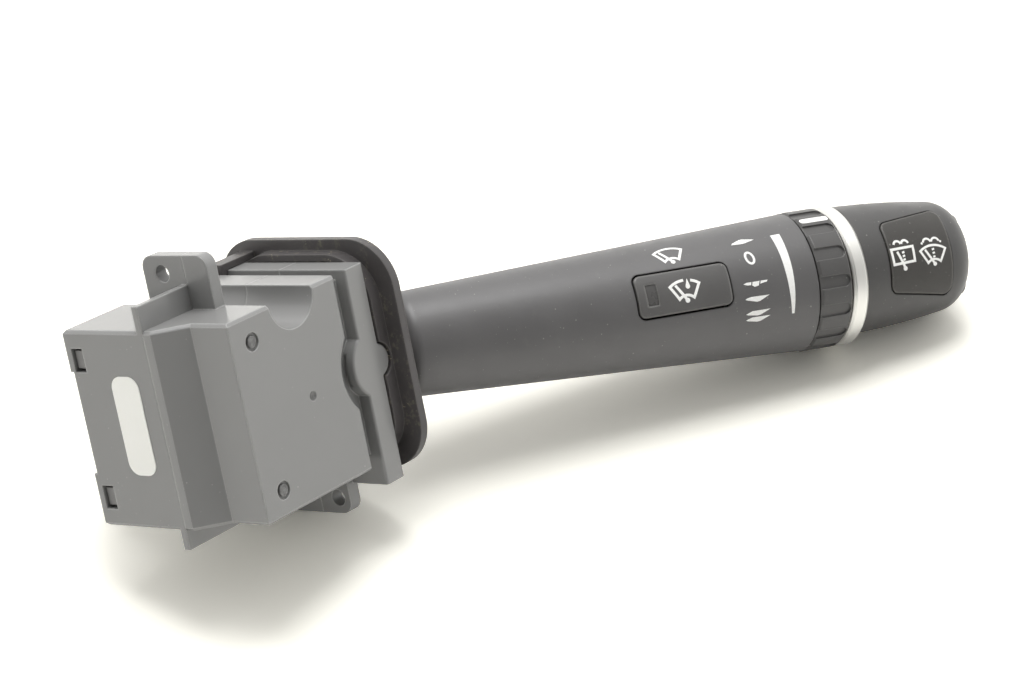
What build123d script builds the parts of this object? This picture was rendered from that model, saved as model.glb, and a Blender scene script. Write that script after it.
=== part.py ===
from build123d import *
from math import asin, cos, pi, radians, sin
import os

# Car wiper stalk switch: a two-part housing with fixing ears, a yoke that turns up and down in it,
# and a lever hinged in the yoke that carries a push button, a thumb ring and a tip rocker.
# +X runs out of the housing to the lever, -Y faces the driver and +Z is up.
# The origin is the centre of the upper fixing hole, on the seat face of its ear.

# Clearances and small common sizes
slip_gap = 0.1
run_gap = 0.05
free_gap = 0.3
screw_hole_radius = 1.7

# Housing, measured from the outer face of its label wall, its parting plane and its mid height
housing_height = 40.0
housing_length = 39.7
wall = 2.0
parting_y = 1.9
front_y = -15.3
back_y = 23.6
label_strip_y = 0.0
step_x = 5.0
valley_y = -5.95
rim_chamfer = 0.6
corner_fillet = 0.8
edge_round = 0.5

# Groove across the top
groove_x = 23.3
groove_radius = 6.4

# End flange, its foot and the channel in front of it
flange_thickness = 5.3
flange_back_y = 20.0
foot_drop = 4.4
foot_back_y = 13.0
channel_width = 3.4
channel_depth = 3.0
channel_top_depth = 2.0

# Rib along the parting plane, behind the label wall
rib_thickness = 1.5
rib_rise = 4.9
rib_drop = 3.9

# Fixing ears
upper_ear_x = 14.2
upper_ear_thickness = 2.8
upper_ear_front_y = -4.2
upper_ear_back_y = 12.8
upper_ear_rise = 10.7
upper_hole_y = 7.8
upper_hole_rise = 7.1
lower_ear_x = 38.0
lower_ear_thickness = 3.0
lower_ear_front_y = -6.0
lower_ear_back_y = 11.0
lower_ear_drop = 10.4
lower_hole_y = -2.9
lower_hole_drop = 7.1
ear_corner = 2.5

# Lever pivot: the trunnions lie along Y and the lever pin along Z, and both cross here
pivot_setback = 1.0
trunnion_radius = 2.2
trunnion_length = 3.0
boss_radius = 7.2
bump_radius = 3.5
bump_overlap = 0.5
bump_cap = 1.0
flange_opening_radius = 13.2

# Root dome and yoke, both round the pivot
dome_radius = 12.5
dome_wall = 1.5
dome_rim_offset = 0.4
yoke_outer_radius = 10.4
yoke_inner_radius = 8.6
yoke_front = 2.7
yoke_back = 4.0
pin_radius = 1.5
pad_radius = 4.0
eye_radius = 4.6
eye_half_height = 6.8
pad_inset = 0.4
trunnion_overlap = 0.5
beam_width = 10.0
beam_reach = 17.0
nose_setback = 4.0
nose_half_height = 4.0
beam_half_height = 9.8
yoke_lip = 1.0
beam_overlap = 0.5
beam_wall = 1.7
web_thickness = 3.0

# Detents and return
detent_step = 5.0
detent_count = 4
detent_track_radius = 28.0
detent_notch_depth = 0.6
plunger_radius = 1.9
spring_room = 4.5
plunger_travel = 0.8
stem_length = 2.4
stem_radius = 0.9
return_stem_radius = 0.55
spring_wire = 0.5
spring_turns = 4
spring_radius = 1.65
return_spring_radius = 1.3
cam_width = 6.0
cam_back_x = 3.8
cam_bottom = -6.0
cam_top = 11.2
cam_foot_thickness = 4.0
return_track_radius = 14.2
return_plunger_radius = 1.5
return_spring_room = 5.2
tail_width = 6.0
tail_height = 6.4
tail_reach = 11.0
return_bore_reach = 3.1

# Fore and aft swing and lever droop
pull_angle = 6.5
lever_lean = 30.3
lever_droop = 6.6
face_turn = 17.5

# Contact chamber behind the partition
partition_thickness = 1.6
drive_arm = 20.0
drive_pin_radius = 1.2
slot_room = 0.5
slider_length = 9.0
slider_height = 9.0
slider_thickness = 1.0
slider_slot_gap = 0.25
slider_finger_height = 0.45
board_thickness = 1.6
board_gap = 1.9
board_left = 4.0
board_end_gap = 3.7
board_foot_gap = 4.0
board_top_gap = 9.5
track_thickness = 0.12
track_width = 1.2
track_count = 3
track_start = 2.0
track_step = 3.0
track_end = 1.0
finger_height = 1.4
post_radius = 1.8
post_rise = 5.5
post_inset = 1.0
guide_width = 1.0
cover_thickness = 2.0
cover_inset = 0.2

# Snap windows and hooks
window_y = 20.75
window_width = 3.0
window_height = 4.8
window_inset = 6.0
hook_depth = 1.4
hook_height = 3.6
hook_leg = 1.4
ledge_depth = 0.8

# Connector socket on the back cover
socket_x = 22.0
socket_z = -4.0
socket_length = 19.0
socket_height = 10.0
socket_wall = 1.6
socket_depth = 11.5
socket_corner = 1.5
socket_inner_corner = 0.8
pin_columns = 5
pin_rows = 2
pin_pitch = 3.2
pin_row_pitch = 4.0
terminal_side = 0.64
terminal_reach = 6.0

# Housing screws
screw_x = 10.8
screw_inset = 5.2
screw_radius = 1.4
screw_head_radius = 2.6
screw_head_height = 2.0
screw_boss_radius = 3.0
screw_reach = 9.0
screw_sink = 1.0
screw_slot_width = 0.6
screw_slot_depth = 1.0
mark_radius = 1.8
mark_width = 0.65
mark_depth = 0.6
gate_x = 24.0
gate_z = -0.4
gate_radius = 1.6
gate_depth = 0.4

# Label on the end wall
label_y = 9.6
label_z = 1.0
label_width = 7.2
label_height = 20.0
label_corner = 2.6
label_thickness = 0.15

# Seal plate round the lever's root
plate_gap = 3.0
plate_thickness = 2.0
plate_side = 4.2
plate_back_side = 6.1
plate_rise = 3.8
plate_corner = 10.0
plate_opening_radius = 12.3
plate_opening_chamfer = 1.0
collar_side = 0.3
collar_rise = 1.5
collar_corner = 10.0
collar_wall = 1.5
clip_inset = 2.4
clip_width = 3.6
clip_nose = 1.4
peg_side = 2.9
peg_inset = 4.0
peg_radius = 1.2
peg_length = 2.2

# Lever skin, along the lever axis from the pivot
root_t = 17.2
skin_end_t = 107.0
root_half_height = 10.72
ring_half_height = 14.75
root_half_depth = 9.9
ring_half_depth = 14.4
root_round = 3.0
skin_wall = 1.8
neck_radius = 5.0
neck_root_radius = 4.0
neck_root_length = 8.0
neck_cone = 1.5
core_radius = 6.0
core_bore_radius = 3.0
bulkhead_thickness = 2.0
bulkhead_ts = [19.3, 56.0, 97.0]

# Button in the lever face
button_t = 77.0
button_length = 20.6
button_width = 8.8
button_corner = 1.4
button_rise = 0.3
button_thickness = 2.4
button_gap = 0.4
button_travel = 1.0
button_leg_radius = 1.3
lamp_t = 69.9
lamp_length = 2.2
lamp_width = 4.2
lamp_depth = 5.0
lever_board_f = 2.7
lever_board_length = 30.0
lever_board_width = 12.0
lever_board_thickness = 1.2
lamp_height = 1.2
button_leg_length = 1.6
switch_offset = 2.0
switch_side = 6.0
switch_gap = 0.2

# Thumb ring, silver ring and journal
journal_radius = 11.4
journal_flange_radius = 12.4
journal_set = 1.2
journal_flange_width = 2.2
journal_cone = 4.0
journal_bore_step = 5.0
ring_start_gap = 0.3
ring_length = 7.5
ring_radius = 14.95
ring_edge = 0.5
pocket_count = 15
pocket_length = 7.0
pocket_width = 2.75
pocket_depth = 0.45
pocket_start_angle = 7.5
silver_gap = 0.2
silver_length = 3.6
silver_radius = 15.0
silver_edge = 0.6
track_ring_thickness = 0.6
brush_length = 3.0
brush_thickness = 0.7

# End cap, panel and tip rocker
cap_lift = 0.75
cap_start_radius = 13.85
cap_mid_length = 10.4
cap_mid_radius = 13.4
cap_length = 28.4
cap_end_radius = 11.2
cap_tip_round = 6.2
cap_wall = 1.8
spigot_radius = 9.6
spigot_length = 5.4
panel_offset = 6.1
panel_length = 15.5
panel_start_width = 14.8
panel_end_width = 18.4
panel_corner = 1.8
panel_thickness = 0.8
panel_rise = 0.3
panel_gap = 0.2
rocker_lean = 6.0
rocker_lift = 0.7
rocker_half_height = 8.9
rocker_back_f = -6.6
rocker_front_f = 4.0
rocker_corner = 2.6
rocker_edge_round = 1.2
rocker_reach = 6.6
rocker_root = 3.0
rocker_pin_inset = 5.5
rocker_pin_radius = 1.0
rocker_gap = 0.8
rocker_dish = 0.4
rocker_dish_half = 6.5
rocker_boss_radius = 2.2
rocker_pin_reach = 2.6
rocker_switch_inset = 13.5
rocker_switch_radius = 9.8
rocker_switch_thickness = 1.2
switch_dome_radius = 1.8
switch_dome_gap = 1.0
switch_dome_taper = 12.0
switch_dome_share = 0.6

# Places worked out from the sizes above
half_height = housing_height / 2
flange_width = flange_back_y - front_y
datum = Vector(upper_ear_x, upper_hole_y, half_height + upper_hole_rise)
flange_start_x = housing_length
flange_face_x = housing_length + flange_thickness
pivot_x = flange_face_x - pivot_setback
channel_x = flange_start_x - channel_width
partition_front_y = parting_y + flange_opening_radius
partition_back_y = partition_front_y + partition_thickness
pivot = Vector(pivot_x, parting_y, 0) - datum
plate_back_x = flange_face_x + plate_gap
board_front_y = partition_back_y + board_gap
cover_outer_y = back_y - cover_inset
cover_inner_y = cover_outer_y - cover_thickness
cover_half_height = half_height - channel_top_depth - wall - slip_gap
socket_end_y = cover_outer_y + socket_depth
beam_end_x = pivot_x - beam_reach
nose_end_x = pivot_x - detent_track_radius + nose_setback
tail_end_x = pivot_x - tail_reach
return_bore_end_x = pivot_x - return_bore_reach
plunger_length = detent_track_radius - free_gap - beam_reach - spring_room
return_plunger_length = return_track_radius - free_gap - return_bore_reach - return_spring_room
board_right = housing_length - board_end_gap
board_bottom = -half_height + board_foot_gap
board_top = half_height - board_top_gap
window_z = half_height - window_inset
screw_z = half_height - screw_inset
peg_y = front_y + peg_side
peg_z = half_height - peg_inset
clip_y = flange_back_y - clip_inset
collar_top = half_height + collar_rise
track_t = skin_end_t - journal_set
ring_start_t = skin_end_t + ring_start_gap
ring_end_t = ring_start_t + ring_length
silver_start_t = ring_end_t + silver_gap
silver_end_t = silver_start_t + silver_length
spigot_end_t = silver_end_t + spigot_length
cap_mid_t = silver_end_t + cap_mid_length
cap_end_t = silver_end_t + cap_length
panel_start_t = silver_end_t + panel_offset
panel_end_t = panel_start_t + panel_length
rocker_pin_t = cap_end_t - rocker_pin_inset
rocker_switch_t = cap_end_t - rocker_switch_inset

# Directions of the lever: out along it, across its height, and out of its marked face
along = Vector(
    cos(radians(lever_droop)) * cos(radians(lever_lean)),
    -cos(radians(lever_droop)) * sin(radians(lever_lean)),
    -sin(radians(lever_droop)),
)
towards_driver = (Vector(0, -1, 0) + along * along.Y).normalized()
upwards = towards_driver.cross(along).normalized()
face_out = towards_driver * cos(radians(face_turn)) + upwards * sin(radians(face_turn))
height_dir = upwards * cos(radians(face_turn)) - towards_driver * sin(radians(face_turn))


def level(z):
    """Horizontal plane at a height, in housing measures (X, Y)."""
    return Plane(origin=Vector(0, 0, z) - datum)


def upright(y):
    """Plane seen by the driver at a depth, in housing measures (X, Z), facing -Y."""
    return Plane(origin=Vector(0, y, 0) - datum, x_dir=(1, 0, 0), z_dir=(0, -1, 0))


def cross(x):
    """Plane square to X, in housing measures (Y, Z), facing +X."""
    return Plane(origin=Vector(x, 0, 0) - datum, x_dir=(0, 1, 0), z_dir=(1, 0, 0))


def lever_at(t):
    """Plane across the lever at a distance from the pivot, in (height, face) measures."""
    return Plane(origin=pivot + along * t, x_dir=height_dir, z_dir=along)


def lever_face(f):
    """Plane along the lever at a distance out of its axis, in (distance, height) measures."""
    return Plane(origin=pivot + face_out * f, x_dir=along, z_dir=face_out)


def lever_profile():
    """Plane through the lever's axis, in (distance, face) measures, for turned shapes."""
    return Plane(origin=pivot, x_dir=along, z_dir=height_dir * -1)


lever_axis = Axis(pivot, along)


def box_between(x0, x1, y0, y1, z0, z1, mode=Mode.ADD):
    """Straight-sided block between housing coordinates."""
    with BuildSketch(level(z0)) as base:
        with Locations(((x0 + x1) / 2, (y0 + y1) / 2)):
            Rectangle(x1 - x0, y1 - y0)
    extrude(base.sketch, amount=z1 - z0, mode=mode)


def rod_y(x, z, radius, y0, y1, mode=Mode.ADD):
    """Cylinder along Y between two depths."""
    with BuildSketch(upright(y1)) as base:
        with Locations((x, z)):
            Circle(radius)
    extrude(base.sketch, amount=y1 - y0, mode=mode)


def rod_x(y, z, radius, x0, x1, mode=Mode.ADD):
    """Cylinder along X between two lengths."""
    with BuildSketch(cross(x0)) as base:
        with Locations((y, z)):
            Circle(radius)
    extrude(base.sketch, amount=x1 - x0, mode=mode)


def turned(points, mode=Mode.ADD):
    """Solid of revolution about the lever axis, from (distance, radius) corners."""
    with BuildSketch(lever_profile()) as profile:
        with BuildLine():
            Polyline(*points, close=True)
        make_face()
    revolve(profile.sketch, axis=lever_axis, mode=mode)


def skin_half_height(t):
    share = (t - root_t) / (skin_end_t - root_t)
    return root_half_height + (ring_half_height - root_half_height) * share


def skin_half_depth(t):
    share = (t - root_t) / (skin_end_t - root_t)
    return root_half_depth + (ring_half_depth - root_half_depth) * share


def skin_form(t0, t1, inset, mode=Mode.ADD):
    """Tapered oval body of the lever between two stations, drawn in by an inset."""
    sections = []
    for t in (t0, t1):
        with BuildSketch(lever_at(t)) as section:
            Ellipse(skin_half_height(t) - inset, skin_half_depth(t) - inset)
        sections.append(section.sketch.face())
    loft(sections, mode=mode)


def coil(plane, radius, wire, length, turns):
    """Compression spring that starts on a plane and runs along its normal."""
    with BuildLine() as winding:
        Helix(pitch=length / turns, height=length, radius=radius - wire / 2, center=plane.origin,
              direction=plane.z_dir)
    path = winding.line.edge()
    with BuildSketch(Plane(origin=path @ 0, z_dir=path % 0)) as section:
        RegularPolygon(wire / 2, 6)
    sweep(section.sketch, path=path, is_frenet=True)


# Housing

# Plan of the housing, with the stepped side towards the driver
case_corners = [
    (0, back_y),
    (0, label_strip_y),
    (step_x, valley_y),
    (step_x, front_y),
    (flange_start_x, front_y),
    (flange_start_x, back_y),
]


def front_edges(x0, x1):
    """Edges of the driver's face between two lengths, clear of its top and bottom rims."""
    reach = half_height - channel_top_depth
    level_edges = edges().filter_by_position(Axis.Y, front_y - datum.Y - run_gap, front_y - datum.Y + run_gap)
    between = level_edges.filter_by_position(Axis.X, x0 - datum.X, x1 - datum.X)
    return between.filter_by_position(Axis.Z, -reach - datum.Z, reach - datum.Z)


def case_body():
    """Outer form of both halves: box, groove, flange, channel, bosses."""
    with BuildSketch(level(-half_height)) as plan:
        with BuildLine():
            Polyline(*case_corners, close=True)
        make_face()
        fillet(vertices().filter_by_position(Axis.X, -datum.X, step_x - datum.X), corner_fillet)
    extrude(plan.sketch, amount=housing_height)
    chamfer(faces().filter_by(Axis.Z).edges(), rim_chamfer)

    with BuildSketch(cross(flange_start_x)) as flange:
        with Locations(((front_y + flange_back_y) / 2, 0)):
            Rectangle(flange_back_y - front_y, housing_height)
        with Locations(((front_y + foot_back_y) / 2, -half_height - foot_drop / 2)):
            Rectangle(foot_back_y - front_y, foot_drop)
    extrude(flange.sketch, amount=flange_thickness)

    with BuildSketch(upright(front_y)) as channel:
        with Locations((channel_x + channel_width / 2, 0)):
            Rectangle(channel_width, housing_height)
        with Locations((pivot_x, 0)):
            Circle(boss_radius + channel_width)
        with Locations((flange_start_x + housing_length / 2, 0)):
            Rectangle(housing_length, housing_height, mode=Mode.SUBTRACT)
        with Locations((pivot_x, 0)):
            Circle(boss_radius, mode=Mode.SUBTRACT)
    extrude(channel.sketch, amount=-channel_depth, mode=Mode.SUBTRACT)
    fillet(front_edges(channel_x - boss_radius, flange_face_x - run_gap), edge_round)
    for side in (1, -1):
        low, high = sorted((side * half_height, side * (half_height - channel_top_depth)))
        box_between(channel_x, flange_start_x, front_y, back_y, low, high, mode=Mode.SUBTRACT)

    for y0, y1 in (
        (front_y, parting_y - flange_opening_radius + bump_overlap),
        (partition_front_y - bump_overlap, partition_front_y + trunnion_length + bump_cap),
    ):
        rod_y(pivot_x, 0, bump_radius, y0, y1)
    fillet(front_edges(flange_face_x - run_gap, flange_face_x + 2 * bump_radius), edge_round)


def case_cavity():
    """Hollow of both halves, with the groove's lining and the flange's round opening."""
    with BuildSketch(level(-half_height + wall)) as plan:
        with BuildLine():
            Polyline(*case_corners, close=True)
        make_face()
        offset(amount=-wall, kind=Kind.INTERSECTION, mode=Mode.REPLACE)
    extrude(plan.sketch, amount=housing_height - 2 * wall, mode=Mode.SUBTRACT)
    box_between(wall, housing_length - wall, back_y - 2 * wall, back_y + wall, -cover_half_height - slip_gap,
                cover_half_height + slip_gap, mode=Mode.SUBTRACT)

    neck_x = channel_x - wall
    lining_depth = channel_depth + wall
    box_between(neck_x, housing_length, front_y + channel_depth, front_y + lining_depth,
                -half_height + channel_top_depth, half_height - channel_top_depth)
    for side in (1, -1):
        top = half_height - channel_top_depth
        low, high = sorted((side * top, side * (top - wall)))
        box_between(neck_x, housing_length, front_y + channel_depth, back_y, low, high)

    with BuildSketch(upright(back_y)) as lining:
        with Locations((groove_x, half_height)):
            Circle(groove_radius + wall)
        with Locations((groove_x, half_height + housing_height / 2 - wall / 2)):
            Rectangle(housing_length, housing_height, mode=Mode.SUBTRACT)
    extrude(lining.sketch, amount=back_y - front_y)
    rod_y(groove_x, half_height, groove_radius, front_y, back_y, mode=Mode.SUBTRACT)

    rod_x(parting_y, 0, flange_opening_radius, channel_x, flange_face_x + bump_radius, mode=Mode.SUBTRACT)


def trunnion_bores():
    reach = flange_opening_radius + trunnion_length
    rod_y(pivot_x, 0, trunnion_radius + run_gap, parting_y - reach, parting_y + reach, mode=Mode.SUBTRACT)


def ear(x, thickness, y0, y1, z_root, z_tip, hole_y, hole_z):
    """Flat fixing ear square to X, with rounded outer corners and a screw hole."""
    middle = (y0 + y1) / 2
    with BuildSketch(cross(x)) as flat:
        with Locations((middle, (z_root + z_tip) / 2)):
            Rectangle(y1 - y0, abs(z_tip - z_root))
        by_height = vertices().sort_by(Axis.Y)
        fillet(by_height[-2:] if z_tip > z_root else by_height[:2], ear_corner)
        with Locations((hole_y, hole_z)):
            Circle(screw_hole_radius, mode=Mode.SUBTRACT)
    extrude(flat.sketch, amount=thickness)


def ears():
    ear(upper_ear_x, upper_ear_thickness, upper_ear_front_y, upper_ear_back_y,
        half_height - wall / 2, half_height + upper_ear_rise, upper_hole_y, half_height + upper_hole_rise)
    ear(lower_ear_x, lower_ear_thickness, lower_ear_front_y, lower_ear_back_y,
        -half_height, -half_height - lower_ear_drop, lower_hole_y, -half_height - lower_hole_drop)


parting = upright(parting_y)

with BuildPart() as front_housing:
    case_body()
    case_cavity()
    ears()
    for z in (screw_z, -screw_z):
        rod_y(screw_x, z, screw_boss_radius, front_y + wall / 2, parting_y)
    trunnion_bores()
    for z in (screw_z, -screw_z):
        rod_y(screw_x, z, screw_radius, parting_y - screw_reach - slip_gap, parting_y, mode=Mode.SUBTRACT)
        with BuildSketch(upright(front_y)):
            with Locations((screw_x, z)):
                Circle(mark_radius)
                Circle(mark_radius - mark_width, mode=Mode.SUBTRACT)
        extrude(amount=-mark_depth, mode=Mode.SUBTRACT)
    with Locations(Vector(gate_x, front_y + gate_depth - gate_radius, gate_z) - datum):
        Sphere(gate_radius, mode=Mode.SUBTRACT)
    for z in (peg_z, -peg_z):
        rod_x(peg_y, z, peg_radius + slip_gap, flange_face_x - peg_length - slip_gap, flange_face_x,
              mode=Mode.SUBTRACT)
    split(bisect_by=parting, keep=Keep.TOP)
front_housing.part.label = "front_housing"

with BuildPart() as rear_housing:
    case_body()
    case_cavity()
    ears()
    box_between(0, upper_ear_x, parting_y, parting_y + rib_thickness,
                -half_height - rib_drop, -half_height + wall / 2)
    box_between(0, upper_ear_x, parting_y, parting_y + rib_thickness,
                half_height - wall / 2, half_height + rib_rise)
    box_between(wall / 2, channel_x, partition_front_y, partition_back_y,
                -half_height + wall / 2, half_height - wall)
    rod_y(groove_x, half_height, groove_radius, parting_y, back_y, mode=Mode.SUBTRACT)
    for z in (screw_z, -screw_z):
        rod_y(screw_x, z, screw_boss_radius, parting_y, partition_front_y)
    for x in (board_left + post_radius + post_inset, board_right - post_radius - post_inset):
        for z in (board_bottom + post_rise, board_top - post_radius - post_inset):
            rod_y(x, z, post_radius, partition_front_y, board_front_y)
    for x in (pivot_x - drive_arm - slider_length / 2 - free_gap - guide_width,
              pivot_x - drive_arm + slider_length / 2 + free_gap):
        box_between(x, x + guide_width, partition_front_y, partition_back_y + slider_thickness,
                    -slider_height, slider_height + guide_width)
    box_between(wall, cam_back_x, parting_y, parting_y + cam_width / 2, cam_bottom, cam_top)
    trunnion_bores()
    for z in (screw_z, -screw_z):
        rod_y(screw_x, z, screw_radius + slip_gap, parting_y, partition_back_y, mode=Mode.SUBTRACT)
        rod_y(screw_x, z, screw_head_radius + slip_gap, partition_back_y - screw_sink, partition_back_y,
              mode=Mode.SUBTRACT)
    slot_swing = radians(detent_step * (detent_count - 1))
    slot_margin = drive_pin_radius + slot_room
    box_between(pivot_x - drive_arm - drive_pin_radius - free_gap,
                pivot_x - drive_arm * cos(slot_swing) + slot_margin, partition_front_y - 1, partition_back_y,
                -drive_arm * sin(radians(detent_step)) - slot_margin,
                drive_arm * sin(slot_swing) + slot_margin, mode=Mode.SUBTRACT)
    for x0, x1 in ((0, wall), (housing_length - wall, housing_length)):
        for z in (window_z, -window_z):
            box_between(x0, x1, window_y - window_width / 2, window_y + window_width / 2,
                        z - window_height / 2, z + window_height / 2, mode=Mode.SUBTRACT)
    box_between(0, wall, back_y - ledge_depth, back_y, -window_z + window_height, window_z - window_height / 2,
                mode=Mode.SUBTRACT)
    split(bisect_by=parting, keep=Keep.BOTTOM)
rear_housing.part.label = "rear_housing"

with BuildPart() as detent_cam:
    cam_angles = [detent_step * k for k in range(detent_count)]
    with BuildSketch(upright(parting_y + cam_width / 2)):
        with Locations(((cam_back_x + pivot_x) / 2, (cam_bottom + cam_top) / 2)):
            Rectangle(pivot_x - cam_back_x, cam_top - cam_bottom)
        with Locations((pivot_x, 0)):
            Circle(detent_track_radius, mode=Mode.SUBTRACT)
        for angle in cam_angles:
            notch_x = pivot_x - detent_track_radius * cos(radians(angle))
            notch_z = detent_track_radius * sin(radians(angle))
            with Locations((notch_x, notch_z)):
                Circle(detent_notch_depth, mode=Mode.SUBTRACT)
    extrude(amount=cam_width)
    box_between(cam_back_x, cam_back_x + cam_foot_thickness, parting_y + cam_width / 2, partition_front_y,
                cam_bottom, cam_top)
detent_cam.part.label = "detent_cam"

with BuildPart() as housing_screws:
    head_y = partition_back_y - screw_sink
    for z in (screw_z, -screw_z):
        rod_y(screw_x, z, screw_radius, parting_y - screw_reach, head_y)
        rod_y(screw_x, z, screw_head_radius, head_y, head_y + screw_head_height)
        with BuildSketch(upright(head_y + screw_head_height)):
            with Locations((screw_x, z)):
                Rectangle(screw_head_radius, screw_slot_width)
                Rectangle(screw_slot_width, screw_head_radius)
        extrude(amount=screw_slot_depth, mode=Mode.SUBTRACT)
housing_screws.part.label = "housing_screws"

with BuildPart() as contact_board:
    box_between(board_left, board_right, board_front_y, board_front_y + board_thickness,
                board_bottom, board_top)
    for column in range(pin_columns):
        for row in range(pin_rows):
            x = socket_x + (column - (pin_columns - 1) / 2) * pin_pitch
            z = socket_z + (row - (pin_rows - 1) / 2) * pin_row_pitch
            hole = terminal_side / 2 + run_gap
            box_between(x - hole, x + hole, board_front_y, board_front_y + board_thickness,
                        z - hole, z + hole, mode=Mode.SUBTRACT)
contact_board.part.label = "contact_board"

with BuildPart() as contact_tracks:
    for k in range(track_count):
        x = pivot_x - drive_arm + (k - 1) * slider_length / track_count
        box_between(x - track_width / 2, x + track_width / 2, board_front_y - track_thickness,
                    board_front_y, board_bottom + track_start + track_step * k, board_top - track_end)
contact_tracks.part.label = "contact_tracks"

with BuildPart() as terminal_pins:
    for column in range(pin_columns):
        for row in range(pin_rows):
            x = socket_x + (column - (pin_columns - 1) / 2) * pin_pitch
            z = socket_z + (row - (pin_rows - 1) / 2) * pin_row_pitch
            half = terminal_side / 2
            box_between(x - half, x + half, board_front_y, cover_outer_y + terminal_reach,
                        z - half, z + half)
terminal_pins.part.label = "terminal_pins"

with BuildPart() as back_cover:
    edge = wall + slip_gap
    box_between(edge, housing_length - edge, cover_inner_y, cover_outer_y,
                -cover_half_height, cover_half_height)
    rod_y(groove_x, half_height, groove_radius + wall + slip_gap, cover_inner_y, cover_outer_y,
          mode=Mode.SUBTRACT)
    hook_front_y = window_y - window_width / 2 + free_gap
    hook_back_y = window_y + window_width / 2 - free_gap
    for x_leg, side in ((edge, -1), (housing_length - edge, 1)):
        for z in (window_z, -window_z):
            low = z - hook_height / 2
            high = z + hook_height / 2
            x0, x1 = sorted((x_leg, x_leg - side * hook_leg))
            box_between(x0, x1, hook_front_y, cover_outer_y, low, high)
            x0, x1 = sorted((x_leg + side * hook_depth, x_leg - side * hook_leg))
            box_between(x0, x1, hook_front_y, hook_back_y, low, high)
    with BuildSketch(upright(socket_end_y)):
        with Locations((socket_x, socket_z)):
            RectangleRounded(socket_length + 2 * socket_wall, socket_height + 2 * socket_wall,
                             socket_corner)
    extrude(amount=socket_end_y - cover_outer_y)
    with BuildSketch(upright(socket_end_y)):
        with Locations((socket_x, socket_z)):
            RectangleRounded(socket_length, socket_height, socket_inner_corner)
    extrude(amount=socket_end_y - cover_outer_y, mode=Mode.SUBTRACT)
    for column in range(pin_columns):
        for row in range(pin_rows):
            x = socket_x + (column - (pin_columns - 1) / 2) * pin_pitch
            z = socket_z + (row - (pin_rows - 1) / 2) * pin_row_pitch
            hole = terminal_side / 2 + run_gap
            box_between(x - hole, x + hole, cover_inner_y, cover_outer_y, z - hole, z + hole,
                        mode=Mode.SUBTRACT)
back_cover.part.label = "back_cover"

with BuildPart() as label:
    with BuildSketch(cross(-label_thickness)):
        with Locations((label_y, label_z)):
            RectangleRounded(label_width, label_height, label_corner)
    extrude(amount=label_thickness)
label.part.label = "label"

with BuildPart() as seal_plate:
    with BuildSketch(cross(plate_back_x)):
        with Locations(((front_y - plate_side + flange_back_y + plate_back_side) / 2, 0)):
            RectangleRounded(flange_width + plate_side + plate_back_side, housing_height + 2 * plate_rise,
                             plate_corner)
        with Locations((parting_y, 0)):
            Circle(plate_opening_radius, mode=Mode.SUBTRACT)
    extrude(amount=plate_thickness)
    rim = faces().sort_by(Axis.X)[-1].edges().filter_by(GeomType.CIRCLE)
    chamfer(rim.sort_by(SortBy.RADIUS)[-1], plate_opening_chamfer)
    with BuildSketch(cross(flange_face_x + slip_gap)):
        with Locations((front_y + flange_width / 2, 0)):
            RectangleRounded(flange_width + 2 * collar_side, 2 * collar_top, collar_corner)
            RectangleRounded(flange_width + 2 * (collar_side - collar_wall), 2 * (collar_top - collar_wall),
                             collar_corner - collar_wall, mode=Mode.SUBTRACT)
    extrude(amount=plate_gap - slip_gap)
    rod_y(pivot_x, 0, bump_radius + free_gap, front_y - wall, flange_back_y + wall, mode=Mode.SUBTRACT)
    for side in (1, -1):
        low, high = sorted((side * (half_height + slip_gap), side * collar_top))
        box_between(channel_x + channel_width / 2, plate_back_x, clip_y - clip_width / 2,
                    clip_y + clip_width / 2, low, high)
        low, high = sorted((side * (half_height - clip_nose), side * collar_top))
        box_between(channel_x + channel_width / 2, flange_start_x - slip_gap, clip_y - clip_width / 2,
                    clip_y + clip_width / 2, low, high)
        rod_x(peg_y, side * peg_z, peg_radius, flange_face_x - peg_length, plate_back_x)
seal_plate.part.label = "seal_plate"

# Yoke and what it carries

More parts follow.
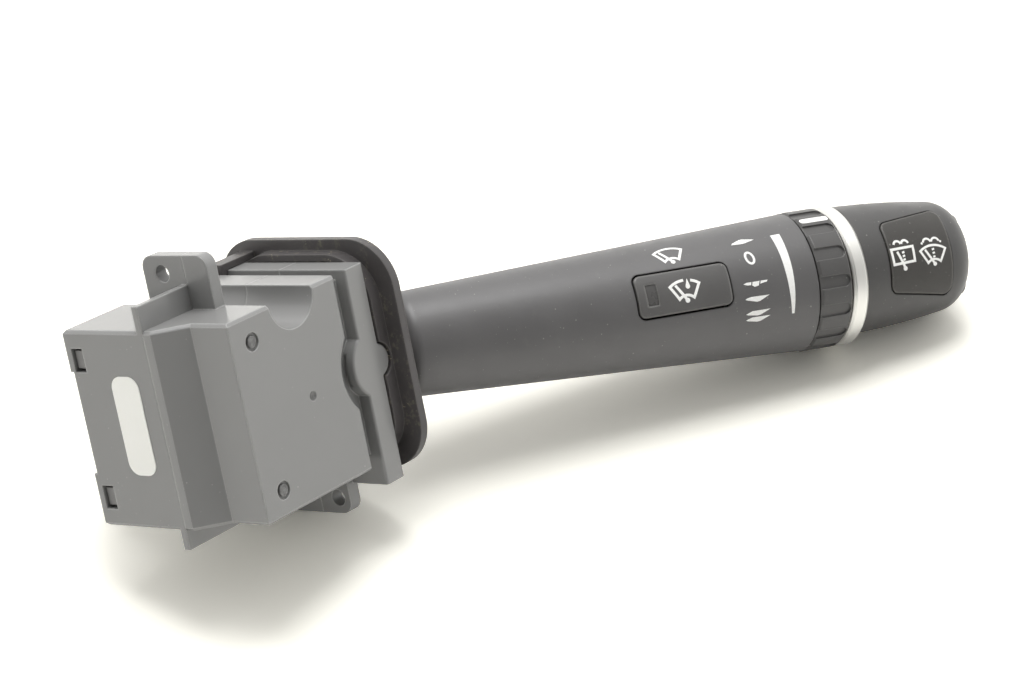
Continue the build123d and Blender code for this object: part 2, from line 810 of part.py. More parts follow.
with BuildPart() as yoke:
    with BuildSketch(cross(pivot_x - yoke_back)):
        with Locations((parting_y, 0)):
            Circle(yoke_outer_radius)
            Circle(yoke_inner_radius, mode=Mode.SUBTRACT)
    extrude(amount=yoke_back + yoke_front)
    half_beam = beam_width / 2
    beam_root_x = pivot_x - yoke_back
    beam_top = beam_half_height - yoke_lip
    with BuildSketch(upright(parting_y + half_beam)):
        with BuildLine():
            Polyline(
                (beam_root_x + beam_overlap, beam_top),
                (beam_root_x - yoke_lip, beam_top),
                (beam_end_x, nose_half_height + beam_wall),
                (nose_end_x, nose_half_height),
                (nose_end_x, -nose_half_height),
                (beam_end_x, -nose_half_height - beam_wall),
                (beam_root_x - yoke_lip, -beam_top),
                (beam_root_x + beam_overlap, -beam_top),
                close=True,
            )
        make_face()
    extrude(amount=beam_width)
    with BuildSketch(upright(parting_y + half_beam)):
        with BuildLine():
            Polyline(
                (pivot_x, beam_top - beam_wall),
                (beam_root_x - yoke_lip, beam_top - beam_wall),
                (beam_end_x + web_thickness, nose_half_height),
                (beam_end_x + web_thickness, -nose_half_height),
                (beam_root_x - yoke_lip, beam_wall - beam_top),
                (pivot_x, beam_wall - beam_top),
                close=True,
            )
        make_face()
    extrude(amount=beam_width, mode=Mode.SUBTRACT)
    with BuildSketch(level(-nose_half_height)):
        with Locations((pivot_x, parting_y)):
            Circle(return_track_radius)
        with Locations((pivot_x - return_track_radius, parting_y)):
            Circle(detent_notch_depth)
        with Locations((pivot_x, parting_y)):
            Circle(return_track_radius - web_thickness, mode=Mode.SUBTRACT)
    extrude(amount=2 * nose_half_height, mode=Mode.SUBTRACT)
    for low, high in ((-yoke_outer_radius + pad_inset, -eye_half_height - free_gap),
                      (eye_half_height + free_gap, yoke_outer_radius - pad_inset)):
        with BuildSketch(level(low)):
            with Locations((pivot_x, parting_y)):
                Circle(pad_radius)
        extrude(amount=high - low)
    for side in (1, -1):
        ends = sorted((parting_y + side * (yoke_inner_radius + trunnion_overlap),
                       parting_y + side * (flange_opening_radius + trunnion_length - free_gap)))
        rod_y(pivot_x, 0, trunnion_radius, ends[0], ends[1])
    rod_y(pivot_x - drive_arm, 0, drive_pin_radius, parting_y + half_beam - 1,
          partition_back_y + slip_gap + slider_thickness)
    rod_x(parting_y, 0, plunger_radius + run_gap, nose_end_x - 1, beam_end_x, mode=Mode.SUBTRACT)
    with BuildSketch(level(-yoke_outer_radius)):
        with Locations((pivot_x, parting_y)):
            Circle(pin_radius)
    extrude(amount=2 * yoke_outer_radius, mode=Mode.SUBTRACT)
yoke.part.label = "yoke"

with BuildPart() as lever_pin:
    with BuildSketch(level(-yoke_outer_radius + 0.2)):
        with Locations((pivot_x, parting_y)):
            Circle(pin_radius)
    extrude(amount=2 * yoke_outer_radius - 0.4)
    chamfer(faces().filter_by(Axis.Z).edges(), 0.3)
lever_pin.part.label = "lever_pin"

with BuildPart() as detent_plunger:
    tip_x = pivot_x - detent_track_radius + free_gap
    shaft_x = tip_x + plunger_radius
    rod_x(parting_y, 0, plunger_radius, shaft_x, tip_x + plunger_length)
    rod_x(parting_y, 0, stem_radius, shaft_x, tip_x + plunger_length + stem_length)
    with Locations(Vector(shaft_x, parting_y, 0) - datum):
        Sphere(plunger_radius)
detent_plunger.part.label = "detent_plunger"

with BuildPart() as detent_spring:
    plunger_end_x = pivot_x - detent_track_radius + free_gap + plunger_length
    spring_start = plunger_end_x + plunger_travel + spring_wire / 2 + run_gap
    coil(Plane(origin=Vector(spring_start, parting_y, 0) - datum, x_dir=(0, 1, 0), z_dir=(1, 0, 0)),
         spring_radius, spring_wire, beam_end_x - spring_start - spring_wire / 2 - run_gap, spring_turns)
detent_spring.part.label = "detent_spring"

with BuildPart() as contact_slider:
    slider_y = partition_back_y + slip_gap
    slider_x = pivot_x - drive_arm
    box_between(slider_x - slider_length / 2, slider_x + slider_length / 2, slider_y,
                slider_y + slider_thickness, -slider_height / 2, slider_height / 2)
    with BuildSketch(upright(slider_y + slider_thickness)):
        with Locations((slider_x + 0.35, 0)):
            SlotOverall(2 * drive_pin_radius + 2 * slider_slot_gap + 1.1,
                        2 * drive_pin_radius + 2 * slider_slot_gap)
    extrude(amount=slider_thickness, mode=Mode.SUBTRACT)
contact_slider.part.label = "contact_slider"

with BuildPart() as slider_contacts:
    finger_y = partition_back_y + slip_gap + slider_thickness
    for k in range(track_count):
        x = pivot_x - drive_arm + (k - 1) * slider_length / track_count
        z = (finger_height + 0.2 - slider_height) / 2 if k == 1 else 0
        box_between(x - track_width / 2, x + track_width / 2, finger_y, finger_y + slider_finger_height,
                    z - finger_height / 2, z + finger_height / 2)
slider_contacts.part.label = "slider_contacts"

# Lever

with BuildPart() as lever_core:
    turned([(0, 0), (0, neck_root_radius), (neck_root_length, neck_root_radius),
            (neck_root_length + neck_cone, neck_radius), (bulkhead_ts[0], neck_radius),
            (bulkhead_ts[0], core_radius), (skin_end_t - journal_cone, core_radius),
            (track_t - journal_flange_width, journal_flange_radius), (track_t, journal_flange_radius),
            (track_t, journal_radius), (silver_end_t, journal_radius),
            (silver_end_t, spigot_radius), (spigot_end_t, spigot_radius), (spigot_end_t, 0)])
    for t in bulkhead_ts:
        skin_form(t, t + bulkhead_thickness, skin_wall + slip_gap)
    with BuildSketch(level(-eye_half_height)):
        with Locations((pivot_x, parting_y)):
            Circle(eye_radius)
    extrude(amount=2 * eye_half_height)
    box_between(tail_end_x, pivot_x, parting_y - tail_width / 2, parting_y + tail_width / 2,
                -tail_height / 2, tail_height / 2)
    wide_bore_radius = core_bore_radius + journal_bore_step
    turned([(neck_root_length, 0), (neck_root_length, core_bore_radius),
            (skin_end_t - journal_cone, core_bore_radius), (skin_end_t, wide_bore_radius),
            (spigot_end_t, wide_bore_radius), (spigot_end_t, 0)], mode=Mode.SUBTRACT)
    with BuildSketch(lever_face(lever_board_f)):
        with Locations((button_t, 0)):
            Rectangle(lever_board_length + 1, 4 * core_radius)
    extrude(amount=core_radius, mode=Mode.SUBTRACT)
    with BuildSketch(level(-eye_half_height)):
        with Locations((pivot_x, parting_y)):
            Circle(pin_radius + run_gap)
    extrude(amount=2 * eye_half_height, mode=Mode.SUBTRACT)
    rod_x(parting_y, 0, return_plunger_radius + run_gap, tail_end_x, return_bore_end_x, mode=Mode.SUBTRACT)
lever_core.part.label = "lever_core"

with BuildPart() as return_plunger:
    tip_x = pivot_x - return_track_radius + free_gap
    shaft_x = tip_x + return_plunger_radius
    rod_x(parting_y, 0, return_plunger_radius, shaft_x, tip_x + return_plunger_length)
    rod_x(parting_y, 0, return_stem_radius, shaft_x, tip_x + return_plunger_length + stem_length)
    with Locations(Vector(shaft_x, parting_y, 0) - datum):
        Sphere(return_plunger_radius)
return_plunger.part.label = "return_plunger"

with BuildPart() as return_spring:
    plunger_end_x = pivot_x - return_track_radius + free_gap + return_plunger_length
    spring_start = plunger_end_x + plunger_travel + spring_wire / 2 + run_gap
    coil(Plane(origin=Vector(spring_start, parting_y, 0) - datum, x_dir=(0, 1, 0), z_dir=(1, 0, 0)),
         return_spring_radius, spring_wire, return_bore_end_x - spring_start - spring_wire / 2 - run_gap,
         spring_turns)
return_spring.part.label = "return_spring"

with BuildPart() as root_dome:
    with BuildSketch(level(0)):
        with Locations((pivot_x, parting_y)):
            Circle(dome_radius)
            Circle(dome_radius - dome_wall, mode=Mode.SUBTRACT)
        with Locations((pivot_x + dome_rim_offset, parting_y + dome_radius)):
            Rectangle(2 * dome_radius, 2 * dome_radius, align=(Align.MIN, Align.CENTER), mode=Mode.INTERSECT)
    revolve(axis=Axis(pivot, (1, 0, 0)))
    with BuildSketch(lever_at(0)):
        Circle(neck_radius + run_gap)
    extrude(amount=2 * dome_radius, mode=Mode.SUBTRACT)
    notch_half = trunnion_radius + 0.5
    notch_angle = asin(notch_half / (dome_radius - dome_wall)) + radians(pull_angle)
    notch_x = pivot_x + dome_radius * sin(notch_angle) + 0.2
    box_between(pivot_x, notch_x, parting_y - 2 * dome_radius, parting_y - dome_radius / 2,
                -notch_half, notch_half, mode=Mode.SUBTRACT)
    box_between(pivot_x, notch_x, parting_y + dome_radius / 2, parting_y + 2 * dome_radius,
                -notch_half, notch_half, mode=Mode.SUBTRACT)
root_dome.part.label = "root_dome"


def lever_skin():
    """Whole oval skin of the lever, closed at the root and open at the ring."""
    skin_form(root_t, skin_end_t, 0)
    root_edge = edges().filter_by(GeomType.ELLIPSE).sort_by(lever_axis)[0]
    fillet(root_edge, root_round)
    skin_form(root_t + wall, skin_end_t, skin_wall, mode=Mode.SUBTRACT)
    with BuildSketch(lever_at(root_t)) as neck_hole:
        Circle(neck_radius + run_gap)
    extrude(neck_hole.sketch, amount=wall, mode=Mode.SUBTRACT)


def button_outline(length, width, corner):
    """Rounded oblong on the lever's middle plane, under the button."""
    with BuildSketch(lever_face(0)) as outline:
        with Locations((button_t, 0)):
            RectangleRounded(length, width, corner)
    return outline.sketch


with BuildPart() as lever_front_shell:
    lever_skin()
    aperture = button_outline(button_length + 2 * button_gap, button_width + 2 * button_gap,
                              button_corner + button_gap)
    extrude(aperture, amount=2 * ring_half_depth, mode=Mode.SUBTRACT)
    split(bisect_by=lever_face(run_gap), keep=Keep.TOP)
lever_front_shell.part.label = "lever_front_shell"

with BuildPart() as lever_rear_shell:
    lever_skin()
    split(bisect_by=lever_face(-run_gap), keep=Keep.BOTTOM)
lever_rear_shell.part.label = "lever_rear_shell"

with BuildPart() as lever_board:
    with BuildSketch(lever_face(lever_board_f)):
        with Locations((button_t, 0)):
            Rectangle(lever_board_length, lever_board_width)
    extrude(amount=lever_board_thickness)
lever_board.part.label = "lever_board"

board_top_f = lever_board_f + lever_board_thickness
button_foot_f = skin_half_depth(button_t) - button_thickness - button_leg_length
with BuildPart() as button_switch:
    with BuildSketch(lever_face(board_top_f)):
        with Locations((button_t + switch_offset, 0)):
            Rectangle(switch_side, switch_side)
    extrude(amount=button_foot_f - button_travel - switch_gap - board_top_f)
button_switch.part.label = "button_switch"

with BuildPart() as indicator_lamp:
    with BuildSketch(lever_face(board_top_f)):
        with Locations((lamp_t, 0)):
            Rectangle(lamp_length, lamp_width)
    extrude(amount=lamp_height)
indicator_lamp.part.label = "indicator_lamp"

with BuildPart() as rain_button:
    skin_form(root_t, skin_end_t, -button_rise)
    skin_form(root_t - 1, skin_end_t + 1, button_thickness, mode=Mode.SUBTRACT)
    extrude(button_outline(button_length, button_width, button_corner), amount=2 * ring_half_depth,
            mode=Mode.INTERSECT)
    with BuildSketch(lever_face(button_foot_f)):
        with Locations((button_t + switch_offset, 0)):
            Circle(button_leg_radius)
    extrude(amount=button_thickness)
    with BuildSketch(lever_face(0)):
        with Locations((lamp_t, 0)):
            Rectangle(lamp_length + 2 * run_gap, lamp_width + 2 * run_gap)
    extrude(amount=2 * ring_half_depth, mode=Mode.SUBTRACT)
rain_button.part.label = "rain_button"

with BuildPart() as button_window:
    skin_form(root_t, skin_end_t, -button_rise + 0.1)
    with BuildSketch(lever_face(skin_half_depth(lamp_t) - lamp_depth)):
        with Locations((lamp_t, 0)):
            Rectangle(lamp_length, lamp_width)
    extrude(amount=2 * lamp_depth, mode=Mode.INTERSECT)
button_window.part.label = "button_window"

with BuildPart() as thumb_ring:
    turned([(ring_start_t, journal_radius + run_gap), (ring_start_t, ring_radius - ring_edge),
            (ring_start_t + ring_edge, ring_radius), (ring_end_t - ring_edge, ring_radius),
            (ring_end_t, ring_radius - ring_edge), (ring_end_t, journal_radius + run_gap)])
    for k in range(pocket_count):
        angle = radians(pocket_start_angle) + 2 * pi * k / pocket_count
        out = height_dir * cos(angle) + face_out * sin(angle)
        floor = pivot + along * ring_start_t + out * (ring_radius - pocket_depth)
        with BuildSketch(Plane(origin=floor, x_dir=along, z_dir=out)):
            SlotOverall(2 * pocket_length, pocket_width)
        extrude(amount=2 * pocket_depth, mode=Mode.SUBTRACT)
thumb_ring.part.label = "thumb_ring"

with BuildPart() as ring_track:
    track_end_t = track_t + track_ring_thickness
    turned([(track_t, journal_radius), (track_t, journal_flange_radius),
            (track_end_t, journal_flange_radius), (track_end_t, journal_radius)])
ring_track.part.label = "ring_track"

with BuildPart() as ring_contact:
    brush_t = track_t + track_ring_thickness + slip_gap
    brush_radius = (journal_radius + journal_flange_radius) / 2
    with BuildSketch(lever_at(brush_t)):
        with Locations((0, -brush_radius)):
            Rectangle(brush_length, brush_thickness)
    extrude(amount=ring_start_t - brush_t)
ring_contact.part.label = "ring_contact"

with BuildPart() as silver_ring:
    turned([(silver_start_t, journal_radius + run_gap), (silver_start_t, silver_radius - silver_edge),
            (silver_start_t + silver_edge, silver_radius), (silver_end_t - silver_edge, silver_radius),
            (silver_end_t, silver_radius - silver_edge), (silver_end_t, journal_radius + run_gap)])
silver_ring.part.label = "silver_ring"


cap_centre = pivot + upwards * cap_lift
cap_profile = Plane(origin=cap_centre, x_dir=along, z_dir=height_dir * -1)
cap_axis = Axis(cap_centre, along)


def cap_form(inset, mode=Mode.ADD):
    """Turned solid under the cap's surface; its axis lies a little above the lever's."""
    start = (silver_end_t, cap_start_radius - inset)
    middle = (cap_mid_t, cap_mid_radius - inset)
    last = (cap_end_t - inset, cap_end_radius - inset)
    with BuildSketch(cap_profile) as profile:
        with BuildLine():
            ThreePointArc(start, middle, last)
            Polyline(last, (cap_end_t - inset, 0), (silver_end_t, 0), start)
        make_face()
        fillet(vertices().sort_by_distance(last)[0], cap_tip_round - inset)
    revolve(profile.sketch, axis=cap_axis, mode=mode)


def panel_outline(margin):
    """Panel outline on the lever's middle plane, wider at the tip, let out by a margin."""
    with BuildSketch(lever_face(0)) as outline:
        with BuildLine():
            Polyline((panel_start_t, panel_start_width / 2), (panel_end_t, panel_end_width / 2),
                     (panel_end_t, -panel_end_width / 2), (panel_start_t, -panel_start_width / 2), close=True)
        make_face()
        fillet(vertices(), panel_corner)
        offset(amount=margin, mode=Mode.REPLACE)
    return outline.sketch


with BuildPart() as icon_panel:
    cap_form(-panel_rise)
    cap_form(panel_thickness - panel_rise, mode=Mode.SUBTRACT)
    extrude(panel_outline(0), amount=2 * cap_start_radius, mode=Mode.INTERSECT)
icon_panel.part.label = "icon_panel"

with BuildPart() as panel_pocket:
    cap_form(-wall)
    cap_form(panel_thickness - panel_rise, mode=Mode.SUBTRACT)
    extrude(panel_outline(panel_gap), amount=2 * cap_start_radius, mode=Mode.INTERSECT)

# Block across the cap's hollow that carries the rocker's pin
with BuildPart() as pin_bridge:
    cap_form(cap_wall / 2)
    with BuildSketch(lever_at(rocker_pin_t - rocker_boss_radius)) as bar:
        with Locations((rocker_lift, 0)):
            Rectangle(2 * rocker_boss_radius, 4 * cap_start_radius)
    extrude(bar.sketch, amount=2 * rocker_boss_radius, mode=Mode.INTERSECT)

rocker_width = rocker_front_f - rocker_back_f
rocker_middle_f = (rocker_front_f + rocker_back_f) / 2
with BuildPart() as end_cap:
    cap_form(0)
    cap_form(cap_wall, mode=Mode.SUBTRACT)
    with BuildSketch(cap_profile) as collar:
        with BuildLine():
            Polyline((silver_end_t, 0), (silver_end_t, cap_start_radius - cap_wall / 2),
                     (spigot_end_t, cap_start_radius - cap_wall / 2), (spigot_end_t, 0), close=True)
        make_face()
    revolve(collar.sketch, axis=cap_axis)
    turned([(silver_end_t, 0), (silver_end_t, spigot_radius + slip_gap),
            (spigot_end_t, spigot_radius + slip_gap), (spigot_end_t, 0)], mode=Mode.SUBTRACT)
    add(pin_bridge.part)
    with BuildSketch(lever_at(rocker_pin_t - rocker_root - wall)) as opening:
        with Locations((rocker_lift, rocker_middle_f)):
            RectangleRounded(2 * (rocker_half_height + rocker_gap), rocker_width + 2 * free_gap,
                             rocker_corner + free_gap)
    extrude(opening.sketch, amount=cap_end_t - rocker_pin_t + rocker_root + 2 * wall, mode=Mode.SUBTRACT)
    with BuildSketch(lever_face(rocker_back_f - rocker_pin_reach)) as pin_hole:
        with Locations((rocker_pin_t, rocker_lift)):
            Circle(rocker_pin_radius)
    extrude(pin_hole.sketch, amount=rocker_width + 2 * rocker_pin_reach, mode=Mode.SUBTRACT)
    add(panel_pocket.part, mode=Mode.SUBTRACT)
end_cap.part.label = "end_cap"

# The rocker rests with its lower end pressed in
rocker_out = along * cos(radians(rocker_lean)) - height_dir * sin(radians(rocker_lean))
rocker_up = height_dir * cos(radians(rocker_lean)) + along * sin(radians(rocker_lean))
rocker_centre = pivot + along * rocker_pin_t + height_dir * rocker_lift

with BuildPart() as rear_rocker:
    rocker_foot = rocker_centre - rocker_out * rocker_root
    with BuildSketch(Plane(origin=rocker_foot, x_dir=rocker_up, z_dir=rocker_out)):
        with Locations((0, rocker_middle_f)):
            RectangleRounded(2 * rocker_half_height, rocker_width, rocker_corner)
    extrude(amount=rocker_reach + rocker_root)
    fillet(faces().sort_by(Axis(rocker_centre, rocker_out))[-1].edges(), rocker_edge_round)
    dish_radius = (rocker_dish_half**2 + rocker_dish**2) / (2 * rocker_dish)
    dish_centre = rocker_centre + rocker_out * (rocker_reach - rocker_dish + dish_radius)
    with BuildSketch(Plane(origin=dish_centre + face_out * (rocker_back_f - 1), x_dir=along, z_dir=face_out)):
        Circle(dish_radius)
    extrude(amount=rocker_width + 2, mode=Mode.SUBTRACT)
    with BuildSketch(lever_face(rocker_back_f - 1)):
        with Locations((rocker_pin_t, rocker_lift)):
            Circle(rocker_pin_radius + run_gap)
    extrude(amount=rocker_width + 2, mode=Mode.SUBTRACT)
rear_rocker.part.label = "rear_rocker"

with BuildPart() as rocker_pin:
    with BuildSketch(lever_face(rocker_back_f - rocker_pin_reach + slip_gap)):
        with Locations((rocker_pin_t, rocker_lift)):
            Circle(rocker_pin_radius)
    extrude(amount=rocker_width + 2 * (rocker_pin_reach - slip_gap))
rocker_pin.part.label = "rocker_pin"

with BuildPart() as rocker_switch:
    with BuildSketch(lever_at(rocker_switch_t)):
        Circle(rocker_switch_radius)
    extrude(amount=rocker_switch_thickness)
    dome_foot_t = rocker_switch_t + rocker_switch_thickness
    with BuildSketch(lever_at(dome_foot_t)):
        for end in (1, -1):
            with Locations((rocker_lift + end * rocker_half_height * switch_dome_share, 0)):
                Circle(switch_dome_radius)
    extrude(amount=rocker_pin_t - rocker_root - switch_dome_gap - dome_foot_t,
            taper=switch_dome_taper)
rocker_switch.part.label = "rocker_switch"

pieces = [
    front_housing, rear_housing, detent_cam, housing_screws, contact_board, contact_tracks,
    terminal_pins, back_cover, label, seal_plate,
    yoke, lever_pin, detent_plunger, detent_spring, contact_slider, slider_contacts,
    lever_core, return_plunger, return_spring, root_dome, lever_front_shell, lever_rear_shell,
    lever_board, button_switch, indicator_lamp, rain_button, button_window,
    thumb_ring, ring_track, ring_contact, silver_ring,
    end_cap, icon_panel, rear_rocker, rocker_pin, rocker_switch,
]
os.makedirs("parts", exist_ok=True)
for piece in pieces:
    export_step(piece.part, f"parts/{piece.part.label}.step")
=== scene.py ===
from math import cos, hypot, pi, radians, sin

import bmesh
import bpy
from mathutils import Matrix, Vector
from mathutils.bvhtree import BVHTree


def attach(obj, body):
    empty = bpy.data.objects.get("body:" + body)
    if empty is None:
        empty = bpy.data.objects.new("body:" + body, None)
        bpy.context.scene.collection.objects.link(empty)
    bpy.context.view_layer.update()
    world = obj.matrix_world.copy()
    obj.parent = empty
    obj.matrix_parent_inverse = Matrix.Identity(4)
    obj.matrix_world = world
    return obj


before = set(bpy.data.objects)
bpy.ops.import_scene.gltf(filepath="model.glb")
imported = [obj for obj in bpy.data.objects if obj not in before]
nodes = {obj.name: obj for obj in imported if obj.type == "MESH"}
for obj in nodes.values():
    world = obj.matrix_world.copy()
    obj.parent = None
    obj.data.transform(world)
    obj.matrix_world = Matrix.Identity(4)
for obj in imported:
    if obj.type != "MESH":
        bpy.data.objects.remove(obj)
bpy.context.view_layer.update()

scene = bpy.context.scene

MM = 0.001

# Lever axis from the pivot, its marked face and its height, as in the part's source
DATUM = Vector((14.2, 7.8, 27.1)) * MM
PIVOT = Vector((44.0, 1.9, 0.0)) * MM - DATUM
LEAN, DROOP, TURN = radians(30.3), radians(6.6), radians(17.5)
ALONG = Vector((cos(DROOP) * cos(LEAN), -cos(DROOP) * sin(LEAN), -sin(DROOP)))
DRIVER = (Vector((0, -1, 0)) + ALONG * ALONG.y).normalized()
UP = DRIVER.cross(ALONG).normalized()
FACE = DRIVER * cos(TURN) + UP * sin(TURN)
HEIGHT = UP * cos(TURN) - DRIVER * sin(TURN)

# Normal of the table: the part lies on its lower ear, the seal plate's lower corner and the underside of its cap
TABLE_UP = Vector((-0.249, -0.392, 0.886)).normalized()


# Colours

def srgb(value):
    """Linear value of a display value from 0 to 255."""
    c = value / 255.0
    return c / 12.92 if c <= 0.04045 else ((c + 0.055) / 1.055) ** 2.4


def tone(r, g, b):
    return (srgb(r), srgb(g), srgb(b), 1.0)


def shade(colour, factor):
    """The colour made lighter or darker by a factor, and never above white."""
    return tuple(min(1.0, c * factor) for c in colour[:3]) + (1.0,)


HOUSE_DUST = tone(205, 203, 196)
LEVER_DUST = tone(160, 158, 152)
PLATE_DUST = tone(200, 190, 162)
# Painted highlight along the edges of the seal plate
PLATE_EDGE_HIGHLIGHT = tone(118, 114, 110)


# Node trees

NOISE_ROUGHNESS = 0.55
MIDDLE = (0.3, 0.7)  # most of a noise lies between these
BEVEL_SAMPLES = 6


class Tree:
    """Small helper round a node tree."""

    def __init__(self, tree):
        self.tree = tree

    def add(self, kind, **settings):
        node = self.tree.nodes.new(kind)
        for key, value in settings.items():
            setattr(node, key, value)
        return node

    def link(self, output, target):
        self.tree.links.new(output, target)

    def ramp(self, value, low, high, to_low=0.0, to_high=1.0, shape="LINEAR"):
        """The value moved from one range to another, and held at its ends."""
        node = self.add("ShaderNodeMapRange", interpolation_type=shape)
        node.inputs["From Min"].default_value = low
        node.inputs["From Max"].default_value = high
        node.inputs["To Min"].default_value = to_low
        node.inputs["To Max"].default_value = to_high
        self.link(value, node.inputs["Value"])
        return node.outputs["Result"]

    def math(self, operation, a, b):
        node = self.add("ShaderNodeMath", operation=operation)
        for socket, value in zip(node.inputs, (a, b)):
            if isinstance(value, (int, float)):
                socket.default_value = value
            else:
                self.link(value, socket)
        return node.outputs[0]

    def mix(self, fac, first, second):
        """Colour between the first at 0 and the second at 1."""
        node = self.add("ShaderNodeMix", data_type="RGBA")
        self.link(fac, node.inputs["Factor"])
        for socket, value in ((node.inputs["A"], first), (node.inputs["B"], second)):
            if isinstance(value, tuple):
                socket.default_value = value
            else:
                self.link(value, socket)
        return node.outputs["Result"]

    def dot(self, vector, direction):
        node = self.add("ShaderNodeVectorMath", operation="DOT_PRODUCT")
        self.link(vector, node.inputs[0])
        if isinstance(direction, Vector):
            node.inputs[1].default_value = direction
        else:
            self.link(direction, node.inputs[1])
        return node.outputs["Value"]

    def add_shaders(self, first, second):
        node = self.add("ShaderNodeAddShader")
        self.link(first.outputs[0], node.inputs[0])
        self.link(second.outputs[0], node.inputs[1])
        return node

    def mix_shaders(self, fac, first, second):
        node = self.add("ShaderNodeMixShader")
        self.link(fac, node.inputs["Fac"])
        self.link(first.outputs[0], node.inputs[1])
        self.link(second.outputs[0], node.inputs[2])
        return node


class Graph(Tree):
    """Node tree of one new material. Sizes are in millimetres."""

    def __init__(self, name):
        self.mat = bpy.data.materials.new(name)
        self.mat.use_nodes = True
        super().__init__(self.mat.node_tree)
        self.shader = self.tree.nodes["Principled BSDF"]
        self.object = self.add("ShaderNodeTexCoord").outputs["Object"]

    def drive(self, colour, rough, normal):
        """Link these to the shader and hand over the material."""
        for name, output in (("Base Color", colour), ("Roughness", rough), ("Normal", normal)):
            self.link(output, self.shader.inputs[name])
        return self.mat

    def noise(self, size, detail=3.0):
        """Noise whose features are about that size."""
        node = self.add("ShaderNodeTexNoise")
        node.inputs["Scale"].default_value = 1.0 / (size * MM)
        node.inputs["Detail"].default_value = detail
        node.inputs["Roughness"].default_value = NOISE_ROUGHNESS
        self.link(self.object, node.inputs["Vector"])
        return node.outputs["Fac"]

    def uneven(self, rough, less, more, size):
        """Roughness that wanders by that much round a value."""
        return self.ramp(self.noise(size), *MIDDLE, rough - less, rough + more)

    def specks(self, size, share, radius, seed):
        """Mask of small round specks: one cell of that size holds at most one."""
        shift = self.add("ShaderNodeMapping")
        shift.inputs["Location"].default_value = (seed, seed * 0.7, seed * 1.3)
        self.link(self.object, shift.inputs["Vector"])
        cells = self.add("ShaderNodeTexVoronoi")
        cells.inputs["Scale"].default_value = 1.0 / (size * MM)
        self.link(shift.outputs["Vector"], cells.inputs["Vector"])
        split = self.add("ShaderNodeSeparateColor")
        self.link(cells.outputs["Color"], split.inputs["Color"])
        chosen = self.math("LESS_THAN", split.outputs["Red"], share)
        reach = self.ramp(split.outputs["Green"], 0.0, 1.0, 0.4 * radius, radius)
        near = self.math("LESS_THAN", cells.outputs["Distance"], reach)
        return self.math("MULTIPLY", chosen, near)

    def cover(self, base, mask, amount, colour):
        """Lay a colour over the base where the mask is, by that amount."""
        return self.mix(self.math("MULTIPLY", mask, amount), base, colour)

    def soft_edges(self, radius):
        """Shading normal with every edge rounded by that radius."""
        node = self.add("ShaderNodeBevel")
        node.samples = BEVEL_SAMPLES
        node.inputs["Radius"].default_value = radius * MM
        return node.outputs["Normal"]

    def plain_normal(self):
        return self.add("ShaderNodeNewGeometry").outputs["Normal"]

    def facing(self, direction, low, high):
        """1 where the surface looks that way, 0 where it looks away."""
        return self.ramp(self.dot(self.plain_normal(), direction), low, high)

    def spot(self, centre, reach, fade=0.3):
        """1 within that reach of a point, fading to 0."""
        gap = self.add("ShaderNodeVectorMath", operation="DISTANCE")
        self.link(self.object, gap.inputs[0])
        gap.inputs[1].default_value = centre
        return self.ramp(gap.outputs["Value"], (reach + fade) * MM, reach * MM)

    def edge_highlight_mask(self, radius):
        """1 along rounded edges, where a highlight is painted, and 0 on flats."""
        return self.ramp(self.dot(self.soft_edges(radius), self.plain_normal()), 0.995, 0.86)

    def bump(self, height, depth, previous=None):
        """Relief of that depth, on top of an earlier normal."""
        node = self.add("ShaderNodeBump")
        node.inputs["Distance"].default_value = depth * MM
        node.inputs["Strength"].default_value = 1.0
        self.link(height, node.inputs["Height"])
        if previous is not None:
            self.link(previous, node.inputs["Normal"])
        return node.outputs["Normal"]


# Kinds of material

def moulded(name, colour, rough, grain, depth, mottle, dust=0.0, dust_colour=HOUSE_DUST, specular=0.5, edge=0.3,
            smudge=0.06, rim=None, film=0.06, recess_shade=()):
    """Moulded plastic with a fine spark-eroded grain, cloudy colour and roughness, and dust specks.

    Grain is its size and depth its height, edge the rounding of the edges, rim the colour of a highlight painted
    along them, mottle and smudge how much colour and roughness wander, dust the share of cells with a speck and
    film the thin layer of dust. The last argument lists spots round which the plastic is darkened as painted shade.
    """
    g = Graph(name)
    lower, upper = shade(colour, 1 - mottle), shade(colour, 1 + mottle)
    base = g.mix(g.ramp(g.noise(14.0, 4.0), *MIDDLE), lower, upper)
    fine = g.noise(grain, 2.0)
    base = g.mix(g.ramp(fine, 0.35, 0.75, 0.0, 0.35), base, lower)
    if dust:
        base = g.mix(g.ramp(g.noise(2.2, 5.0), 0.62, 0.8, 0.0, film), base, dust_colour)
        base = g.cover(base, g.specks(1.3, dust, 0.16, 0.11), 0.5, dust_colour)
        base = g.cover(base, g.specks(0.7, dust * 1.2, 0.17, 0.43), 0.4, dust_colour)
    # Painted highlight: a lighter colour laid along the rounded edges
    if rim:
        base = g.cover(base, g.edge_highlight_mask(edge), 0.7, rim)
    # Painted shade: a much darker copy of the colour, in patches, within a reach of each point
    for centre, reach in recess_shade:
        painted_shade = g.math("MULTIPLY", g.spot(centre, reach), g.ramp(g.noise(0.8), 0.3, 0.6, 0.3, 0.75))
        base = g.mix(painted_shade, base, shade(colour, 0.25))
    normal = g.bump(fine, depth, g.soft_edges(edge))
    normal = g.bump(g.noise(grain * 3.1, 2.0), depth * 1.5, normal)
    g.shader.inputs["Specular IOR Level"].default_value = specular
    return g.drive(base, g.uneven(rough, smudge, smudge, 5.0), normal)


